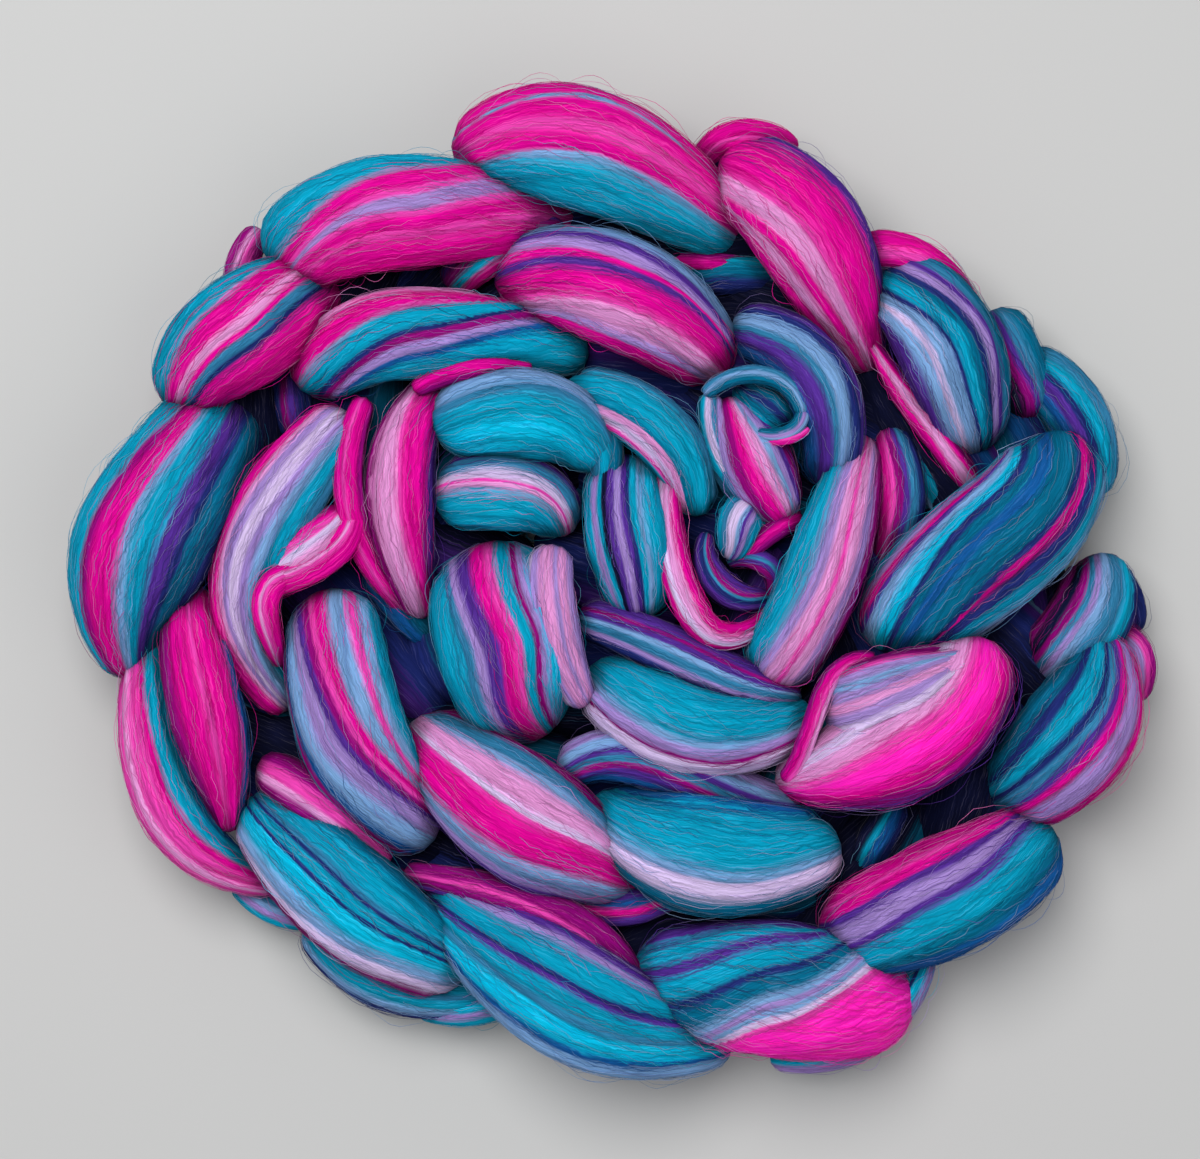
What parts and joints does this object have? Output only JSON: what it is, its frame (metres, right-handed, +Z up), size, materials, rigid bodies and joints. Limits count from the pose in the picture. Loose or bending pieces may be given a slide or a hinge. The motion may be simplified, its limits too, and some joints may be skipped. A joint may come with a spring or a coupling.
{
  "type": "braid of wool roving",
  "caption": "Soft chain-plaited braid of hand-dyed wool roving, coiled into a flat round, ready for spinning or felting.",
  "frame": {"origin": "on the table plane, under the middle of the coil", "axes": "+Z up, out of the coil's upper face; +X along its longer side; +Y along its shorter side"},
  "size_m": [0.2742, 0.2534, 0.0477],
  "materials": {
    "wool": "matte combed wool dyed in bands of teal, magenta, violet and pink, with a soft sheen along the fibres"
  },
  "bodies": {
    "root": {"braid": "wool"}
  },
  "joints": []
}
